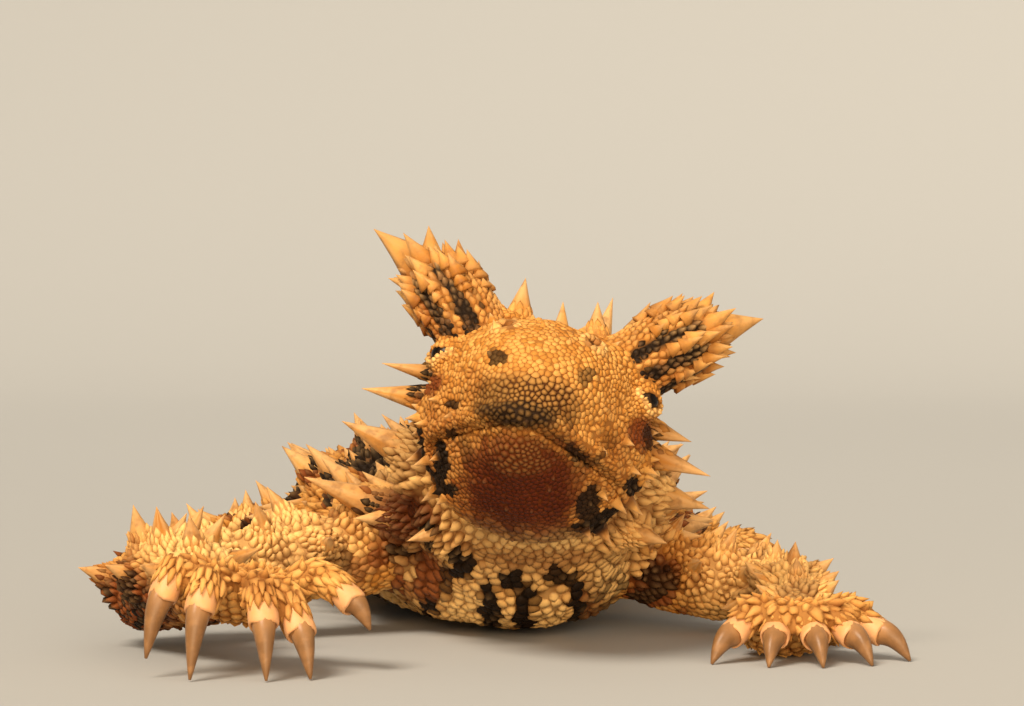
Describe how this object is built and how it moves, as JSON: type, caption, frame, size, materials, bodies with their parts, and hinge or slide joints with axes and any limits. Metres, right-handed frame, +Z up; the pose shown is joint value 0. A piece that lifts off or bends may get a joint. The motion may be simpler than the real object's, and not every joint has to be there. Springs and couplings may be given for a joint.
{
  "type": "thorny devil",
  "caption": "Life-size still model of a thorny devil lizard, resting low on its belly with head raised and one arched hand ahead.",
  "frame": {"origin": "middle of the underside of the whole model's box, on the floor it rests on", "axes": "+Z up, +Y from snout to tail, +X towards the animal's left side"},
  "size_m": [0.0634, 0.1457, 0.03],
  "materials": {
    "skin": "matte, rough with small bead-like scales",
    "horn": "dry horn, pale at the tips",
    "eye": "wet gloss"
  },
  "bodies": {
    "root": {"head": "skin", "horn_right": "horn", "horn_left": "horn", "eye_right": "eye", "eye_left": "eye", "neck": "skin", "torso": "skin", "tail_base": "skin", "tail_tip": "skin", "upper_arm_right": "skin", "upper_arm_left": "skin", "forearm_right": "skin", "forearm_left": "skin", "hand_right": "skin", "hand_left": "skin", "thigh_right": "skin", "thigh_left": "skin", "shin_right": "skin", "shin_left": "skin", "foot_right": "skin", "foot_left": "skin"}
  },
  "joints": []
}
